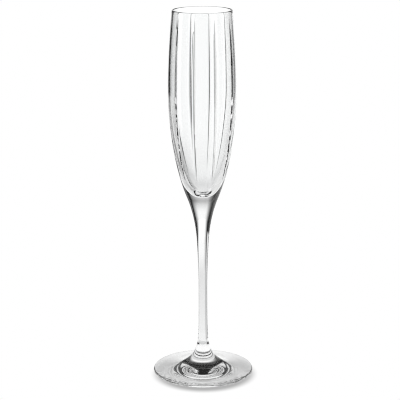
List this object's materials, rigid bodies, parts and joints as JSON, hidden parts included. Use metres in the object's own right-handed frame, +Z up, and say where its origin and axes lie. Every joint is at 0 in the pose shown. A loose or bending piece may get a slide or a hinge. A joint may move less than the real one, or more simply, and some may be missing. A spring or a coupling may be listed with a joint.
{
  "type": "champagne flute",
  "caption": "Tall clear crystal champagne flute: slim tulip bowl with long upright mitre cuts, a drawn stem and a domed foot.",
  "frame": {"origin": "centre of the plane that the foot stands on", "axes": "+Z up along the glass's axis of turning, from the foot to the rim"},
  "size_m": [0.071, 0.071, 0.26],
  "materials": {
    "cut_crystal": "clear, blown, with polished mitre cuts",
    "drawn_crystal": "clear, fire-polished",
    "pressed_crystal": "clear, polished, faintly grey where it is thick"
  },
  "bodies": {
    "root": {"bowl": "cut_crystal", "stem": "drawn_crystal", "foot": "pressed_crystal"}
  },
  "joints": []
}
